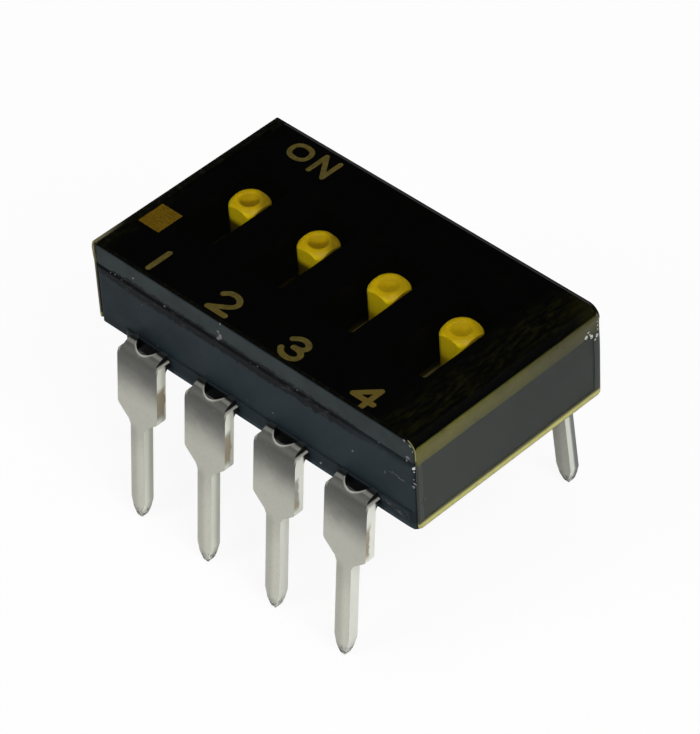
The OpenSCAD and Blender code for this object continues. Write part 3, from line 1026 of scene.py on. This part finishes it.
class DIP_OT_housing(bpy.types.Operator):
    """Finish the base, the cover and the resin under the base"""

    bl_idname = "dip.housing"
    bl_label = "Housing plastics"

    def execute(self, context):
        plastic = context.scene.dip.plastic
        dress(["base"], base_finish(plastic))
        dress(["cover"], cover_finish(plastic))
        dress(["bottom_seal"], resin_finish())
        return {"FINISHED"}


class DIP_OT_sliders(bpy.types.Operator):
    """Finish the four sliders and their sliding contacts"""

    bl_idname = "dip.sliders"
    bl_label = "Sliders and contacts"

    def execute(self, context):
        dip = context.scene.dip
        dress([f"slider_{n}" for n in SWITCHES], knob_finish(dip.plastic))
        dress([f"contact_{n}" for n in SWITCHES], gold_finish(dip.metal))
        return {"FINISHED"}


class DIP_OT_leads(bpy.types.Operator):
    """Finish the eight tinned leads"""

    bl_idname = "dip.leads"
    bl_label = "Leads"

    def execute(self, context):
        dress([f"terminal_{n}" for n in LEADS], tin_finish(context.scene.dip.metal))
        return {"FINISHED"}


class DIP_OT_film(bpy.types.Operator):
    """Build the amber film over the top and both ends"""

    bl_idname = "dip.film"
    bl_label = "Seal film"

    def execute(self, context):
        film = context.scene.dip.film
        profile = film_profile(film.fold_radius / MM)
        columns = 44
        bm = bmesh.new()
        outer, inner = film_rows(bm, profile, columns, film.thickness / MM, film.corner_radius / MM)

        def face(slot, *corners):
            bm.faces.new(corners).material_index = slot

        for i, (start, end) in enumerate(zip(profile, profile[1:])):
            kind, beside, rim, overhang = film_slots((start[0] + end[0]) / 2, (start[1] + end[1]) / 2)
            for n in range(columns):
                on_plastic = overhang <= n < columns - overhang
                for sheet in (outer, inner):
                    row, following = sheet[i], sheet[i + 1]
                    slot = kind if on_plastic else beside
                    face(slot, row[n], following[n], following[n + 1], row[n + 1])
            for n in (0, columns):
                face(rim, outer[i][n], outer[i + 1][n], inner[i + 1][n], inner[i][n])
        for i in (0, -1):
            for n in range(columns):
                face(CUT, outer[i][n], outer[i][n + 1], inner[i][n + 1], inner[i][n])
        piece = new_piece("film", bm, film_finishes(film))
        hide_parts("seal_tape")
        return {"FINISHED"}


class DIP_OT_printing(bpy.types.Operator):
    """Print ON, the switch numbers and the plain rectangle by switch 1 on the cover"""

    bl_idname = "dip.printing"
    bl_label = "Printing"

    def execute(self, context):
        printing = context.scene.dip.printing
        ink = ink_finish(printing)
        height, half_stroke = printing.height / MM, printing.stroke / MM
        for character, name, (x, y), share in PRINTED:
            strokes = [[(u * height + x, v * height + y) for u, v in line] for line in CHARACTERS[character]]
            bm = bmesh.new()
            lay_plate(bm, outlines(strokes, half_stroke * share), PRINT_LOW, PRINT_HIGH)
            new_piece(name, bm, [ink], smooth=False)
        bm = bmesh.new()
        x, y = PIN_MARK
        half_x, half_y = PIN_MARK_HALF
        turns = ((-1, -1), (1, -1), (1, 1), (-1, 1))
        lay_plate(bm, [[(x + u * half_x, y + v * half_y) for u, v in turns]], PRINT_LOW, PRINT_HIGH)
        mark = mark_finish("mark_ink", (0.17, 0.098, 0.004), Specular_IOR_Level=0.1)
        new_piece("pin_1_mark", bm, [mark], smooth=False)
        return {"FINISHED"}


def crumb(bm, rng, centre, size, flat_axis=None, flatness=0.35):
    """Small rough lump, flattened along one axis where it clings to a face."""
    made = bmesh.ops.create_icosphere(bm, subdivisions=2, radius=1.0)["verts"]
    seed = Vector((rng.random() * 90, rng.random() * 90, rng.random() * 90))
    stretch = [size * rng.uniform(0.75, 1.3) for _ in range(3)]
    if flat_axis is not None:
        stretch[flat_axis] = size * flatness
    for v in made:
        bulge = 1 + 0.45 * noise.noise(v.co * 1.7 + seed)
        v.co = Vector(centre) + Vector([v.co[i] * bulge * stretch[i] for i in range(3)])


def scuff(bm, points, half_width, face_axis, level, height=0.004):
    """Thin raised scratch along a line on an upright face; points are (along, z)."""
    loops = outlines([curve(points)], half_width, half_width * 0.35)
    start = len(bm.verts)
    lay_plate(bm, loops, level - height, level + height)
    bm.verts.ensure_lookup_table()
    for v in bm.verts[start:]:
        along, up, out = v.co
        v.co = Vector((along, out, up)) if face_axis == 1 else Vector((out, along, up))


# outer faces that the marks of use cling to
SIDE_Y, FOOT_Y, END_X = COVER_LOW.y, BASE_LOW.y, FILM_HIGH.x

# pale crumbs at the film's far corner: depth behind the end, y, z, size
END_CRUMBS = (
    (0.026, 2.86, 2.31, 0.054),
    (0.022, 2.95, 2.42, 0.0312),
    (0.028, 3.07, 2.20, 0.0624),
    (0.022, 3.00, 2.31, 0.0336),
    (0.022, 3.20, 2.02, 0.0336),
    (0.026, 3.27, 2.12, 0.0504),
    (0.020, 3.29, 2.45, 0.0216),
    (0.018, 3.28, 2.58, 0.018),
    (0.020, 3.30, 2.31, 0.0264),
)

# grey flash on the side with the numbers: x, y, z, size
FLASH = (
    (-1.02, SIDE_Y, TOP_Z - 0.03, 0.03),
    (-1.12, SIDE_Y, 2.60, 0.05),
    (-1.05, SIDE_Y, 2.47, 0.07),
    (-1.14, SIDE_Y, 2.36, 0.05),
    (-4.27, SIDE_Y, 2.58, 0.03),
    (3.58, SIDE_Y, 1.40, 0.035),
    (0.72, SIDE_Y, 0.92, 0.025),
    (2.44, FOOT_Y, 0.30, 0.035),
    (5.44, SIDE_Y, 2.93, 0.035),
    (5.64, SIDE_Y, 2.87, 0.045),
    (5.73, SIDE_Y, 2.73, 0.035),
    (5.54, SIDE_Y, 2.42, 0.055),
    (5.50, SIDE_Y, 2.30, 0.035),
    (5.72, SIDE_Y, 1.78, 0.03),
    (5.735, SIDE_Y + 0.01, 1.64, 0.045),
    (5.70, SIDE_Y, 1.52, 0.04),
)

# scuffs: line on its face as (along, z), half width, axis that the face looks along, place of the face
SCUFFS = (
    ([(4.68, 1.34), (4.82, 1.5), (5.02, 1.56), (5.2, 1.52), (5.42, 1.5)], 0.035, 1, SIDE_Y),
    ([(4.6, 0.5), (4.8, 0.44), (4.98, 0.46)], 0.04, 1, FOOT_Y),
    ([(5.12, 0.42), (5.3, 0.36), (5.48, 0.38)], 0.045, 1, FOOT_Y),
    ([(-3.32, 0.75), (-3.26, 0.9), (-3.16, 0.99), (-3.0, 1.02)], 0.03, 0, END_X - 0.008),
)

# olive blob standing for a painted highlight at the film's corner by pin 1: its middle and half its sides
GLINT_PLACE = (-5.762, SIDE_Y, 2.67)
GLINT_HALF = (0.036, 0.02, 0.27)


class DIP_OT_wear(bpy.types.Operator):
    """Add specks of flash, crumbs at the film's corners, light scuffs, and an olive blob painted as a
    highlight at the film's corner by pin 1
    """

    bl_idname = "dip.wear"
    bl_label = "Marks of use"

    def execute(self, context):
        wear = context.scene.dip.wear
        rng = random.Random(wear.seed)

        bm = bmesh.new()
        crumb(bm, rng, (5.735, SIDE_Y + 0.01, 2.16), 0.05)
        crumb(bm, rng, (5.74, SIDE_Y, 2.05), 0.025, 1)
        for depth, y, z, size in END_CRUMBS:
            crumb(bm, rng, (END_X - depth, y, z), size, 0)
        pale = mark_finish("pale_crumbs", (0.55, 0.56, 0.52), 0.45)
        new_piece("corner_crumbs", bm, [pale])

        bm = bmesh.new()
        for *place, size in FLASH:
            crumb(bm, rng, place, size, 1)
        for _ in range(wear.specks):
            x = rng.uniform(-5.2, 5.2)
            if rng.random() < 0.4:
                spot = (x, SIDE_Y + 0.025, SEAM_Z + rng.uniform(-0.1, 0.06))
            else:
                spot = (x, FOOT_Y + 0.055, 0.62 + rng.uniform(-0.05, 0.25))
            crumb(bm, rng, spot, rng.uniform(0.015, 0.03), 1, 0.2)
        new_piece("seam_flash", bm, [mark_finish("grey_flash", (0.15, 0.155, 0.155))])

        bm = bmesh.new()
        for points, half_width, axis, level in SCUFFS:
            scuff(bm, points, half_width, axis, level)
        faint = mark_finish("faint_scuffs", (0.062, 0.066, 0.069), broken=True)
        new_piece("scuffs", bm, [faint])

        # painted highlight: olive blob at the film's corner by pin 1
        bm = bmesh.new()
        for v in bmesh.ops.create_icosphere(bm, subdivisions=3, radius=1.0)["verts"]:
            rough = 1 + 0.3 * noise.noise(v.co * 1.5)
            v.co = Vector(GLINT_PLACE) + Vector([v.co[i] * GLINT_HALF[i] for i in range(3)]) * rough
        new_piece("film_corner_glint", bm, [mark_finish("olive_glint", (0.2, 0.195, 0.12))])
        return {"FINISHED"}


# the camera's own directions and its place, in millimetres
CAMERA_RIGHT = (0.7135148, 0.6991813, -0.0451913)
CAMERA_UP = (-0.4480314, 0.5049032, 0.7377944)
CAMERA_BACK = (0.5386692, -0.5061801, 0.6735111)
CAMERA_PLACE = (58.8830, -55.2688, 73.3297)


def soft_lamp(name, level, size, place):
    """Square soft lamp that looks at the origin. At level 1 it lights a surface there plainly."""
    start = Vector(place) * MM
    light = bpy.data.lights.new(name, "AREA")
    light.shape = "SQUARE"
    light.size = size * MM
    light.energy = level * math.pi**2 * start.length**2
    lamp = bpy.data.objects.new(name, light)
    lamp.location = start
    lamp.rotation_mode = "QUATERNION"
    lamp.rotation_quaternion = (-start).to_track_quat("-Z", "Y")
    bpy.context.scene.collection.objects.link(lamp)


def floor_finish(white):
    """Pale floor that the camera sees as nearly white and that still keeps a soft shadow."""
    finish = Finish("pale_floor", (0.9, 0.9, 0.9), 0.9, Specular_IOR_Level=0.1)
    finish.bump(finish.add("ShaderNodeTexNoise", {"Scale": 900}, "Fac"), 0.01)
    seen = finish.add("ShaderNodeLightPath", output="Is Camera Ray") * white
    lit = Value(finish, finish.shader.outputs[0])
    glow = finish.add("ShaderNodeEmission")
    shown = finish.add("ShaderNodeMixShader", {0: seen, 1: lit, 2: glow})
    finish.set(finish.tree.nodes["Material Output"], "Surface", shown)
    return finish.material


class DIP_OT_stage(bpy.types.Operator):
    """Lay the floor and set the lamps, the world and the camera"""

    bl_idname = "dip.stage"
    bl_label = "Stage"

    def execute(self, context):
        stage = context.scene.dip.stage
        scene = context.scene
        low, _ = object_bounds()

        bm = bmesh.new()
        bmesh.ops.create_grid(bm, x_segments=8, y_segments=8, size=0.6)
        mesh = bpy.data.meshes.new("floor")
        bm.to_mesh(mesh)
        bm.free()
        mesh.materials.append(floor_finish(stage.floor_white))
        floor = bpy.data.objects.new("floor", mesh)
        floor.location.z = low.z - 0.02 * MM
        scene.collection.objects.link(floor)
        floor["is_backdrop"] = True

        soft_lamp("key_lamp", stage.key, 120, (170, -40, 190))
        soft_lamp("fill_lamp", stage.fill, 140, (-60, -190, 150))
        soft_lamp("top_lamp", stage.fill, 160, (20, 10, 260))

        world = bpy.data.worlds.new("studio")
        world.use_nodes = True
        background = world.node_tree.nodes["Background"]
        background.inputs["Color"].default_value = (1, 1, 1, 1)
        background.inputs["Strength"].default_value = stage.sky
        scene.world = world

        view = bpy.data.cameras.new("camera")
        view.sensor_width = 36
        view.lens = stage.focal_length
        view.clip_start, view.clip_end = 0.001, 5
        camera = bpy.data.objects.new("camera", view)
        turn = Matrix((CAMERA_RIGHT, CAMERA_UP, CAMERA_BACK)).transposed().to_4x4()
        camera.matrix_world = Matrix.Translation(Vector(CAMERA_PLACE) * MM) @ turn
        scene.collection.objects.link(camera)
        scene.camera = camera
        scene.view_settings.view_transform = "Standard"
        return {"FINISHED"}


class DIP_PT_panel(bpy.types.Panel):
    """Settings and steps of the DIP switch"""

    bl_idname = "DIP_PT_panel"
    bl_label = "DIP switch"
    bl_space_type = "VIEW_3D"
    bl_region_type = "UI"
    bl_category = "DIP switch"

    def draw(self, context):
        layout = self.layout
        dip = context.scene.dip
        for name in ("plastic", "metal", "film", "printing", "wear", "stage"):
            group = getattr(dip, name)
            box = layout.box()
            box.label(text=group.bl_rna.description)
            for key in group.bl_rna.properties.keys():
                if key not in ("rna_type", "name"):
                    box.prop(group, key)
        for operator in OPERATORS:
            layout.operator(operator.bl_idname)


GROUPS = (
    DipFilmSettings,
    DipPrintSettings,
    DipPlasticSettings,
    DipMetalSettings,
    DipWearSettings,
    DipStageSettings,
    DipSettings,
)
OPERATORS = (
    DIP_OT_housing,
    DIP_OT_sliders,
    DIP_OT_leads,
    DIP_OT_film,
    DIP_OT_printing,
    DIP_OT_wear,
    DIP_OT_stage,
)


def register():
    for kind in (*GROUPS, *OPERATORS, DIP_PT_panel):
        bpy.utils.register_class(kind)
    bpy.types.Scene.dip = PointerProperty(type=DipSettings)


def unregister():
    del bpy.types.Scene.dip
    for kind in reversed((*GROUPS, *OPERATORS, DIP_PT_panel)):
        bpy.utils.unregister_class(kind)


def main():
    register()
    bpy.ops.dip.housing()
    bpy.ops.dip.sliders()
    bpy.ops.dip.leads()
    bpy.ops.dip.film()
    bpy.ops.dip.printing()
    bpy.ops.dip.wear()
    bpy.ops.dip.stage()


if __name__ == "__main__":
    main()
